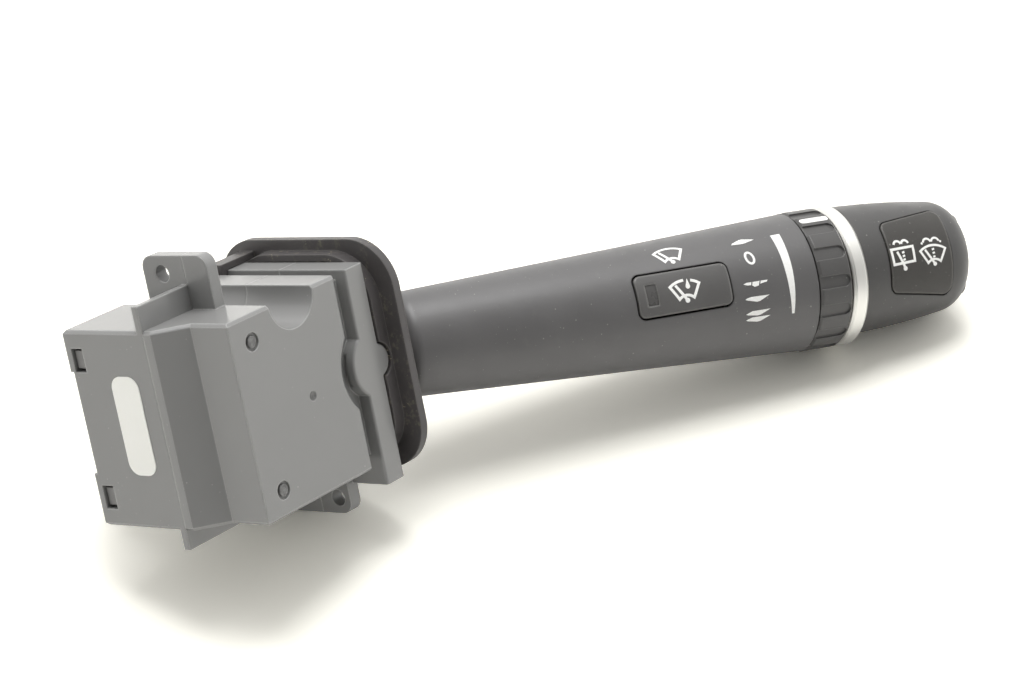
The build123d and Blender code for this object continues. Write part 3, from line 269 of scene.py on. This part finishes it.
def dusty(name, colour, rough, dust_colour, rim, side):
    """Matt moulded plate with dust in patches on one side, as specks of three sizes and as a thin film, and a
    highlight painted along its edges.
    """
    g = Graph(name)
    base = g.mix(g.ramp(g.noise(11.0, 4.0), *MIDDLE), shade(colour, 0.8), colour)
    patches = g.math("MULTIPLY", g.ramp(g.noise(4.0), 0.46, 0.6), g.facing(side, 0.0, 0.3))
    base = g.mix(g.math("MULTIPLY", g.ramp(g.noise(0.9, 5.0), 0.48, 0.75, 0.0, 0.2), patches), base, dust_colour)
    for size, share, radius, seed in ((1.3, 0.5, 0.17, 0.11), (0.8, 0.5, 0.2, 0.43), (0.45, 0.4, 0.26, 0.71)):
        specks = g.math("MULTIPLY", g.specks(size, share, radius, seed), patches)
        base = g.cover(base, specks, 0.85, dust_colour)
    # Painted highlight along the plate's edges
    base = g.cover(base, g.edge_highlight_mask(0.4), 0.35, rim)
    stray = g.specks(1.9, 0.25, 0.08, 0.29)
    base = g.cover(base, stray, 0.7, dust_colour)
    normal = g.bump(g.noise(0.35, 2.0), 0.01, g.soft_edges(0.45))
    normal = g.bump(g.noise(1.3, 2.0), 0.012, normal)
    return g.drive(base, g.uneven(rough, 0.05, 0.08, 4.0), normal)


def turned_metal(name, colour, rough, axis, brush):
    """Metal with fine brush lines of that width, which run round an axis."""
    g = Graph(name)
    lines = g.add("ShaderNodeTexNoise", noise_dimensions="1D")
    lines.inputs["Scale"].default_value = 1.0 / (brush * MM)
    lines.inputs["Detail"].default_value = 4.0
    g.link(g.dot(g.object, axis), lines.inputs["W"])
    line = lines.outputs["Fac"]
    g.shader.inputs["Metallic"].default_value = 1.0
    return g.drive(g.mix(g.ramp(line, *MIDDLE), shade(colour, 0.94), colour),
                   g.ramp(g.math("ADD", line, g.noise(3.0)), 0.6, 1.4, rough - 0.05, rough + 0.08),
                   g.bump(line, 0.0015, g.soft_edges(0.3)))


def printed(name, colour):
    """Pad-printed ink: slightly uneven, a little glossier than what it lies on."""
    g = Graph(name)
    return g.drive(g.mix(g.ramp(g.noise(0.5, 4.0), 0.45, 0.75), colour, shade(colour, 0.93)),
                   g.ramp(g.noise(0.8, 2.0), *MIDDLE, 0.42, 0.55),
                   g.bump(g.noise(0.25, 2.0), 0.004))


def laminate(name, colour, trace):
    """Circuit board: solder mask with the paler lines of its tracks under it."""
    g = Graph(name)
    lines = g.add("ShaderNodeTexBrick")
    lines.inputs["Scale"].default_value = 260.0
    lines.inputs["Mortar Size"].default_value = 0.03
    lines.inputs["Color1"].default_value = colour
    lines.inputs["Color2"].default_value = shade(colour, 0.9)
    lines.inputs["Mortar"].default_value = trace
    g.link(g.object, lines.inputs["Vector"])
    return g.drive(lines.outputs["Color"], g.ramp(g.noise(1.5), *MIDDLE, 0.28, 0.42),
                   g.bump(lines.outputs["Fac"], 0.02))


# Materials of the pieces

# Painted shade: the plastic is darkened in the two round screw marks and in the gate mark of the front shell
FRONT_Y, SCREW_X, SCREW_Z = -15.3, 10.8, 14.8
SCREW_MARK, GATE_MARK = 1.3, 0.8
RECESS_SHADE = [(Vector((SCREW_X, FRONT_Y, z)) * MM - DATUM, SCREW_MARK) for z in (SCREW_Z, -SCREW_Z)]
RECESS_SHADE.append((Vector((24.0, FRONT_Y, -0.4)) * MM - DATUM, GATE_MARK))

# Way in which the dusty side of the seal plate looks, towards the housing
HOUSING_SIDE = Vector((-0.95, 0.0, 0.31))

# The rim colours below are painted highlights along the edges of the housing, button, thumb ring and icon panel
housing_grey = moulded("housing_grey_plastic", tone(140, 140, 139), 0.22, 0.5, 0.001, 0.012, dust=0.02,
                       dust_colour=tone(196, 194, 188), edge=0.5, smudge=0.02, rim=tone(196, 196, 194), film=0.0,
                       recess_shade=RECESS_SHADE)
cover_grey = moulded("cover_grey_plastic", tone(128, 127, 126), 0.34, 0.4, 0.004, 0.04, dust=0.03)
plate_black = dusty("plate_black_plastic", tone(82, 79, 79), 0.4, PLATE_DUST, PLATE_EDGE_HIGHLIGHT, HOUSING_SIDE)
lever_charcoal = moulded("lever_charcoal_plastic", tone(94, 93, 93), 0.42, 0.3, 0.006, 0.05, dust=0.10,
                         dust_colour=LEVER_DUST, edge=0.4, specular=0.7)
cap_charcoal = moulded("cap_charcoal_plastic", tone(70, 69, 68), 0.38, 0.3, 0.006, 0.06, dust=0.10,
                       dust_colour=LEVER_DUST, edge=0.4, specular=0.7)
button_charcoal = moulded("button_charcoal_plastic", tone(92, 91, 90), 0.38, 0.3, 0.006, 0.05, dust=0.10,
                          dust_colour=LEVER_DUST, edge=0.8, rim=tone(136, 135, 132))
core_black = moulded("core_black_plastic", tone(50, 50, 50), 0.45, 0.4, 0.01, 0.1)
ring_black = moulded("ring_black_plastic", tone(76, 75, 74), 0.38, 0.3, 0.005, 0.07, dust=0.10,
                     dust_colour=LEVER_DUST, specular=0.7, rim=tone(112, 111, 109))
panel_grey = moulded("panel_grey_plastic", tone(64, 62, 59), 0.46, 0.3, 0.006, 0.05, dust=0.15,
                     dust_colour=tone(146, 144, 138), edge=0.9, rim=tone(124, 122, 118))
rocker_black = moulded("rocker_black_plastic", tone(62, 60, 62), 0.42, 0.3, 0.006, 0.08)
acetal_white = moulded("white_acetal", tone(222, 219, 208), 0.38, 0.5, 0.004, 0.04)
switch_black = moulded("switch_black_plastic", tone(58, 58, 58), 0.4, 0.4, 0.006, 0.1)
label_paper = moulded("label_paper", tone(253, 253, 247), 0.6, 0.18, 0.004, 0.03, dust=0.02,
                      dust_colour=tone(170, 168, 160), edge=0.05)
lens_smoke = moulded("lamp_lens_smoke", tone(82, 81, 80), 0.3, 0.8, 0.002, 0.05, edge=0.15)
silver_satin = turned_metal("silver_satin", tone(240, 239, 234), 0.36, ALONG, 0.12)
steel = turned_metal("drawn_steel", tone(196, 196, 198), 0.3, Vector((0, 0, 1)), 0.2)
brass = turned_metal("brass", tone(214, 184, 122), 0.32, Vector((0, 1, 0)), 0.2)
board_green = laminate("board_green", tone(38, 92, 58), tone(86, 138, 88))
ink_white = printed("ink_white", tone(252, 252, 249))

NODE_MATERIALS = {
    "front_housing": housing_grey, "rear_housing": housing_grey, "back_cover": cover_grey,
    "detent_cam": acetal_white, "housing_screws": steel, "contact_board": board_green,
    "contact_tracks": brass, "terminal_pins": brass, "label": label_paper, "seal_plate": plate_black,
    "yoke": acetal_white, "lever_pin": steel, "detent_plunger": switch_black, "detent_spring": steel,
    "contact_slider": switch_black, "slider_contacts": brass, "lever_core": core_black,
    "return_plunger": acetal_white, "return_spring": steel, "root_dome": core_black,
    "lever_front_shell": lever_charcoal, "lever_rear_shell": lever_charcoal, "lever_board": board_green,
    "button_switch": switch_black, "indicator_lamp": acetal_white, "rain_button": button_charcoal,
    "button_window": lens_smoke, "thumb_ring": ring_black, "ring_track": brass, "ring_contact": brass,
    "silver_ring": silver_satin, "end_cap": cap_charcoal, "icon_panel": panel_grey,
    "rear_rocker": rocker_black, "rocker_pin": steel, "rocker_switch": switch_black,
}
for node_name, node_material in NODE_MATERIALS.items():
    slots = nodes[node_name].data.materials
    slots.clear()
    slots.append(node_material)


# Printed marks: thin raised ink laid on the lever. A place on it is (t, v) in millimetres: t is the way along the
# lever from the pivot, v the way up from the middle of the marked face.

# Height of a stroke, of one that crosses others, of a spot or drop on top of them, and of the foot of all these
INK, INK_OVER, INK_TOP, INK_FOOT = 0.05, 0.058, 0.06, 0.002
RAY_START = 40  # beyond every surface of the lever
END_RADIUS, MIDDLE_RADIUS, BUTTON_RADIUS, RING_RADIUS, PANEL_RADIUS = 14.0, 13.1, 13.2, 14.9, 13.8


def surfaces(*names):
    return [BVHTree.FromObject(nodes[n], bpy.context.evaluated_depsgraph_get()) for n in names]


def draped(trees, radius):
    """Function that places (t, v) on the outermost of some surfaces; the radius turns v into an angle."""

    def place(t, v, lift):
        angle = v / radius
        out = FACE * cos(angle) + HEIGHT * sin(angle)
        axis_point = PIVOT + ALONG * (t * MM)
        hits = [tree.ray_cast(axis_point + out * (RAY_START * MM), -out) for tree in trees]
        found = [(distance, hit) for hit, _, _, distance in hits if hit is not None]
        ground = min(found, key=lambda pair: pair[0])[1] if found else axis_point + out * (radius * MM)
        return ground + out * (lift * MM)

    return place


SKIN = surfaces("lever_front_shell", "lever_rear_shell")
on_skin_end = draped(SKIN, END_RADIUS)
on_skin_middle = draped(SKIN, MIDDLE_RADIUS)
on_button = draped(surfaces("rain_button"), BUTTON_RADIUS)
on_ring = draped(surfaces("thumb_ring"), RING_RADIUS)
on_panel = draped(surfaces("icon_panel"), PANEL_RADIUS)


# Strokes

def resampled(points, widths, step):
    """Points with their widths, and extra ones between, no further apart than about a step."""
    line = []
    for p, q, w, x in zip(points, points[1:], widths, widths[1:]):
        count = max(1, int(hypot(q[0] - p[0], q[1] - p[1]) / step))
        for k in range(count):
            f = k / count
            line.append(((p[0] + (q[0] - p[0]) * f, p[1] + (q[1] - p[1]) * f), w + (x - w) * f))
    line.append((points[-1], widths[-1]))
    return line


def unit(p, q):
    """Direction from one point to another."""
    size = hypot(q[0] - p[0], q[1] - p[1]) or 1.0
    return (q[0] - p[0]) / size, (q[1] - p[1]) / size


def ribbon(bm, place, points, widths, closed=False, lift=INK, step=0.4):
    """Raised band of ink along points in (t, v), mitred at its corners, with a thin edge all round."""
    if isinstance(widths, (int, float)):
        widths = [widths] * len(points)
    if closed:
        points = list(points) + [points[0]]
        widths = list(widths) + [widths[0]]
    line = resampled(points, widths, step)
    if closed:
        line.pop()
    count = len(line)
    rows = []
    for k, (point, width) in enumerate(line):
        before = line[k - 1][0] if closed or k else None
        after = line[(k + 1) % count][0] if closed or k < count - 1 else None
        into = unit(before, point) if before else unit(point, after)
        out_of = unit(point, after) if after else into
        across = (-into[1] - out_of[1], into[0] + out_of[0])
        size = hypot(*across) or 1.0
        reach = width / 2 * min(2.0 / size, 1.7)
        row = []
        for side in (-1, 0, 1):
            t = point[0] + across[0] / size * reach * side
            v = point[1] + across[1] / size * reach * side
            row.append((bm.verts.new(place(t, v, lift)), bm.verts.new(place(t, v, INK_FOOT))))
        rows.append(row)
    pairs = list(zip(rows, rows[1:])) + ([(rows[-1], rows[0])] if closed else [])
    for a, b in pairs:
        for side in (0, 1):
            bm.faces.new((a[side][0], a[side + 1][0], b[side + 1][0], b[side][0]))
            bm.faces.new((b[side][1], b[side + 1][1], a[side + 1][1], a[side][1]))
        bm.faces.new((a[0][1], a[0][0], b[0][0], b[0][1]))
        bm.faces.new((a[2][0], a[2][1], b[2][1], b[2][0]))
    if not closed:
        for row, flip in ((rows[0], False), (rows[-1], True)):
            rim = [row[0][0], row[0][1], row[1][1], row[2][1], row[2][0], row[1][0]]
            bm.faces.new(rim[::-1] if flip else rim)


def patch(bm, place, corners, lift=INK):
    """Small raised area of ink with straight sides."""
    tops = [bm.verts.new(place(t, v, lift)) for t, v in corners]
    feet = [bm.verts.new(place(t, v, INK_FOOT)) for t, v in corners]
    bm.faces.new(tops)
    bm.faces.new(feet[::-1])
    for k in range(len(corners)):
        j = (k + 1) % len(corners)
        bm.faces.new((tops[k], feet[k], feet[j], tops[j]))


def disc(bm, place, centre, radius):
    """Round spot of ink, over other strokes."""
    angles = [2 * pi * k / 16 for k in range(16)]
    patch(bm, place, [(centre[0] + radius * cos(a), centre[1] + radius * sin(a)) for a in angles], INK_TOP)


def arc_points(centre, radius, start, end, count):
    """Points of an arc in (t, v); angles in degrees from the t direction."""
    return [(centre[0] + radius * cos(radians(start + (end - start) * k / count)),
             centre[1] + radius * sin(radians(start + (end - start) * k / count))) for k in range(count + 1)]


# Parts of the symbols. Each symbol has its own measures (x, y), which put(x, y) turns into (t, v).

def scaled(at, scale):
    """The function put for a symbol at a place."""

    def put(x, y):
        return (at[0] + x * scale, at[1] + y * scale)

    return put


def windscreen(put, skip=None):
    """Outline of a windscreen: an outer and an inner arc. Skip is a gap in the outer one, as two values of t."""
    centre = (0.0, -4.3)
    outer = [put(*p) for p in arc_points(centre, 5.42, 126, 54, 18)]
    inner = [put(*p) for p in arc_points(centre, 2.3, 46, 134, 10)]
    if skip:
        low, high = skip
        return [p for p in outer if p[0] > high] + inner + [p for p in outer if p[0] < low]
    return outer + inner


def wiper(bm, place, put, width):
    """Arm of the wiper in a windscreen, with its pivot below."""
    ribbon(bm, place, [put(-1.95, 0.3), put(-0.35, -2.35), put(0.0, -2.95)], width, lift=INK_OVER)
    disc(bm, place, put(0.08, -3.05), width * 0.9)


def spray(bm, place, put, left, right, y, width):
    """Two arcs of water side by side above a symbol."""
    middle = (left + right) / 2
    for a, b in ((left, middle), (middle, right)):
        half = (b - a) / 2
        ribbon(bm, place, [put(*p) for p in arc_points(((a + b) / 2, y), half * 0.92, 170, 10, 8)], width)


def dashes(bm, place, put, top, pitch, width):
    """Three short strokes below one another, for water on the glass."""
    for k in range(3):
        y = top - pitch * k
        ribbon(bm, place, [put(-0.2, y - 0.06), put(0.38, y + 0.08)], width, lift=INK_OVER)


# Symbols

def wiper_symbol(bm, place, at, scale, width):
    """Windscreen with a wiper."""
    put = scaled(at, scale)
    ribbon(bm, place, windscreen(put), width, closed=True)
    wiper(bm, place, put, width)


def drop_symbol(bm, place, at, scale, width):
    """Windscreen with a wiper and a rain drop over its top edge."""
    put = scaled(at, scale)
    ribbon(bm, place, windscreen(put, (put(0.3, 0)[0], put(1.25, 0)[0])), width)
    wiper(bm, place, put, width)
    top, foot = put(0.82, 1.3), put(0.62, -0.75)
    # Width of the drop on its way down
    shares = [(0.0, 0.08), (0.25, 0.34), (0.5, 0.68), (0.72, 0.98), (0.88, 0.88), (1.0, 0.35)]
    points = [(top[0] + (foot[0] - top[0]) * f, top[1] + (foot[1] - top[1]) * f) for f, _ in shares]
    ribbon(bm, place, points, [w * scale for _, w in shares], lift=INK_TOP, step=2.0)


def washer_symbol(bm, place, at, scale, width):
    """Windscreen with a wiper and washer spray, whose outer ends fall beside it."""
    wiper_symbol(bm, place, at, scale, width)
    put = scaled(at, scale)
    dashes(bm, place, put, 0.2, 0.82, width * 0.85)
    spray(bm, place, put, -2.1, 2.1, 1.75, width * 0.9)
    ribbon(bm, place, [put(-2.25, 1.95), put(-2.5, 1.55)], width * 0.9)
    ribbon(bm, place, [put(2.2, 1.95), put(2.5, 1.6)], width * 0.9)


def rear_symbol(bm, place, at, width):
    """Rear window with a wiper and washer spray."""
    put = scaled(at, 1.0)
    ribbon(bm, place, [put(-2.7, 1.5), put(2.7, 1.72), put(2.6, -1.45), put(-2.55, -1.65)], width, closed=True)
    ribbon(bm, place, [put(-1.35, 0.95), put(-0.3, -1.7), put(0.0, -2.6)], width, lift=INK_OVER)
    disc(bm, place, put(0.05, -2.75), width * 0.9)
    dashes(bm, place, put, 0.65, 0.76, width * 0.85)
    spray(bm, place, put, -1.85, 1.9, 2.35, width * 0.9)


# Speed marks, from the top: one slow mark, off, the broken mark of the interval, one speed mark and a double one

MARK_T = 92.9
SLOW_V, SPEED_V, FAST_V, FASTER_V = 8.92, -4.0, -6.98, -8.4
OFF_T, OFF_V = 93.2, 4.65


def slow_mark(bm):
    corners = [(-2.3, -0.2), (-1.9, 0.2), (-0.2, 0.85), (0.5, 0.9), (3.05, 0.2), (0.7, -0.36), (-0.2, -0.4)]
    patch(bm, on_skin_end, [(MARK_T + t, SLOW_V + v) for t, v in corners])


def off_mark(bm):
    """Slightly leaning oval."""
    half_width, lean, half_height, width, count = 0.85, 0.12, 1.36, 0.5, 24
    angles = [2 * pi * k / count for k in range(count)]
    points = [(OFF_T + half_width * cos(a) - lean * sin(a), OFF_V + half_height * sin(a)) for a in angles]
    ribbon(bm, on_skin_end, points, width, closed=True)


def interval_mark(bm):
    """Three pieces of a broken mark, from its left end."""
    patch(bm, on_skin_end, [(90.2, -0.93), (90.9, -0.68), (92.05, -0.7), (91.85, -1.35), (90.9, -1.25)])
    patch(bm, on_skin_end, [(92.3, -0.72), (93.9, -0.7), (93.55, -1.65), (92.65, -1.8), (92.1, -1.42)])
    patch(bm, on_skin_end, [(94.15, -0.7), (95.7, -0.72), (95.5, -1.08), (93.95, -1.32)])


def speed_mark(bm, v, drop):
    """Mark with a nearly straight upper side and a lower one that bulges; its left end hangs down by the drop."""
    corners = [(-2.75, -0.15 - drop), (-2.3, 0.12 - 1.2 * drop), (-1.3, 0.22 - 0.4 * drop), (2.75, 0.12),
               (0.5, -0.92), (-0.2, -1.0), (-2.3, -0.35 - drop)]
    patch(bm, on_skin_end, [(MARK_T + t, v + rise) for t, rise in corners])


def draw_marks(bm):
    slow_mark(bm)
    off_mark(bm)
    interval_mark(bm)
    speed_mark(bm, SPEED_V, 0.1)
    speed_mark(bm, FAST_V, 0.38)
    speed_mark(bm, FASTER_V, 0.3)


# The other marks

def draw_arc(bm):
    """Band that narrows downwards, for the sensitivity set with the thumb ring."""
    band_t = 100.88
    heights = [9.3, 4.7, 0.5, -4.0, -8.65]
    ribbon(bm, on_skin_end, [(band_t, v) for v in heights], [2.1, 1.85, 1.65, 1.2, 0.55])


def draw_wiper(bm):
    wiper_symbol(bm, on_skin_middle, (76.7, 9.75), 0.98, 0.55)


def draw_button_icon(bm):
    drop_symbol(bm, on_button, (77.25, 0.9), 1.02, 0.58)


def draw_index(bm):
    """Bar with rounded ends on the land between two pockets of the thumb ring."""
    v = radians(46.5) * RING_RADIUS
    start, end, width = 107.75, 114.4, 1.6
    # Distance from an end, and share of the full width there
    rounding = [(0.0, 0.1), (0.1, 0.5), (0.3, 0.85), (0.68, 1.0)]
    points = [(start + f, v) for f, _ in rounding] + [(end - f, v) for f, _ in rounding[::-1]]
    ribbon(bm, on_ring, points, [width * w for _, w in rounding] + [width * w for _, w in rounding[::-1]])


def draw_panel_icons(bm):
    rear_symbol(bm, on_panel, (128.0, -0.25), 0.55)
    washer_symbol(bm, on_panel, (135.5, 0.0), 1.0, 0.52)


def decal(name, body, draw):
    """Make a mark as a piece of its own that rides on a body."""
    mesh = bpy.data.meshes.new(name)
    bm = bmesh.new()
    draw(bm)
    bmesh.ops.recalc_face_normals(bm, faces=bm.faces)
    bm.to_mesh(mesh)
    bm.free()
    obj = bpy.data.objects.new(name, mesh)
    scene.collection.objects.link(obj)
    mesh.materials.append(ink_white)
    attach(obj, body)


decal("speed_marks", "lever", draw_marks)
decal("sensitivity_arc", "lever", draw_arc)
decal("wiper_mark", "lever", draw_wiper)
decal("button_mark", "button_body", draw_button_icon)
decal("ring_index", "thumb_ring_body", draw_index)
decal("panel_marks", "lever", draw_panel_icons)


# Table

TABLE_HALF = 6.0
TABLE_GAP = 0.1 * MM
TABLE_LIT = (0.98, 0.97, 0.93, 1)  # colour that the part gets light from
TABLE_SEEN = (1.38, 1.36, 1.26, 1)  # colour that the camera sees
GLOW_START, GLOW_END, GLOW = 0.25, 0.9, 0.5


def lowest_point():
    """How far the part reaches down along the table's normal."""
    lowest = 0.0
    for obj in nodes.values():
        turned = obj.matrix_world.to_3x3().transposed() @ TABLE_UP
        start = obj.matrix_world.translation.dot(TABLE_UP)
        lowest = min(lowest, start + min(turned.dot(v.co) for v in obj.data.vertices))
    return lowest


def table_sheet():
    """Large flat sheet that the part lies on."""
    mesh = bpy.data.meshes.new("table")
    bm = bmesh.new()
    bmesh.ops.create_grid(bm, x_segments=1, y_segments=1, size=TABLE_HALF)
    bm.to_mesh(mesh)
    bm.free()
    obj = bpy.data.objects.new("table", mesh)
    obj.rotation_euler = TABLE_UP.to_track_quat("Z", "Y").to_euler()
    obj.location = TABLE_UP * (lowest_point() - TABLE_GAP)
    scene.collection.objects.link(obj)
    return obj


def table_material():
    """Matt white that keeps the shadow.

    Far from the part it glows a little, so that the sheet's end melts into the white background. From below it is
    clear, so that the underside of the part can be looked at.
    """
    mat = bpy.data.materials.new("studio_floor")
    mat.use_nodes = True
    mat.node_tree.nodes.clear()
    t = Tree(mat.node_tree)
    matt = t.add("ShaderNodeBsdfDiffuse")
    seen = t.add("ShaderNodeLightPath").outputs["Is Camera Ray"]
    t.link(t.mix(seen, TABLE_LIT, TABLE_SEEN), matt.inputs["Color"])
    away = t.add("ShaderNodeVectorMath", operation="LENGTH")
    t.link(t.add("ShaderNodeTexCoord").outputs["Object"], away.inputs[0])
    glow = t.add("ShaderNodeEmission")
    t.link(t.ramp(away.outputs["Value"], GLOW_START, GLOW_END, 0.0, GLOW), glow.inputs["Strength"])
    below = t.add("ShaderNodeNewGeometry").outputs["Backfacing"]
    sheet = t.mix_shaders(below, t.add_shaders(matt, glow), t.add("ShaderNodeBsdfTransparent"))
    t.link(sheet.outputs[0], t.add("ShaderNodeOutputMaterial").inputs["Surface"])
    return mat


table_sheet().data.materials.append(table_material())


# Light

PHOTOGRAPHER = Vector((-0.75, -0.62, 0.25)).normalized()
ROOM_LIGHT, DARK_SIDE = 1.2, 0.10
ROOM_COLOUR = (1, 0.995, 0.985, 1)
SHADE_START, SHADE_END = 0.30, 0.95


def white_room():
    """World that is white all round but dark where the photographer stands; the camera sees plain white."""
    world = bpy.data.worlds.new("studio")
    scene.world = world
    world.use_nodes = True
    world.node_tree.nodes.clear()
    t = Tree(world.node_tree)
    towards = t.dot(t.add("ShaderNodeTexCoord").outputs["Generated"], PHOTOGRAPHER)
    room = t.add("ShaderNodeBackground")
    room.inputs["Color"].default_value = ROOM_COLOUR
    t.link(t.ramp(towards, SHADE_START, SHADE_END, ROOM_LIGHT, DARK_SIDE, "SMOOTHSTEP"), room.inputs["Strength"])
    white = t.add("ShaderNodeBackground")
    white.inputs["Color"].default_value = (1, 1, 1, 1)
    white.inputs["Strength"].default_value = 1.0
    paths = t.add("ShaderNodeLightPath")
    seen = t.math("MAXIMUM", paths.outputs["Is Camera Ray"], paths.outputs["Is Transmission Ray"])
    t.link(t.mix_shaders(seen, room, white).outputs[0], t.add("ShaderNodeOutputWorld").inputs["Surface"])


def softbox(name, place, aim, size, power):
    """Square lamp that looks at a point."""
    data = bpy.data.lights.new(name, "AREA")
    data.shape = "SQUARE"
    data.size = size
    data.energy = power
    obj = bpy.data.objects.new(name, data)
    scene.collection.objects.link(obj)
    obj.location = place
    obj.rotation_euler = (Vector(aim) - Vector(place)).to_track_quat("-Z", "Y").to_euler()


white_room()
softbox("top_softbox", (0.02, -0.18, 0.80), (0.06, -0.03, -0.03), 0.5, 5.0)


# Camera, fitted to the photograph

CAMERA_PLACE = Vector((-0.3929, -0.4086, 0.1207))
CAMERA_RIGHT = Vector((0.5909, -0.7860, -0.1818))
CAMERA_UP = Vector((0.3103, 0.0135, 0.9505))
LENS, SENSOR = 105.47, 36.0


def place_camera():
    data = bpy.data.cameras.new("camera")
    data.lens = LENS
    data.sensor_width = SENSOR
    data.sensor_fit = "HORIZONTAL"
    data.clip_start = 0.01
    data.clip_end = 50.0
    obj = bpy.data.objects.new("camera", data)
    back = CAMERA_RIGHT.cross(CAMERA_UP)
    turn = Matrix((CAMERA_RIGHT, back.cross(CAMERA_RIGHT), back)).transposed()
    obj.matrix_world = Matrix.Translation(CAMERA_PLACE) @ turn.to_4x4()
    scene.collection.objects.link(obj)
    scene.camera = obj


place_camera()
scene.view_settings.view_transform = "Standard"
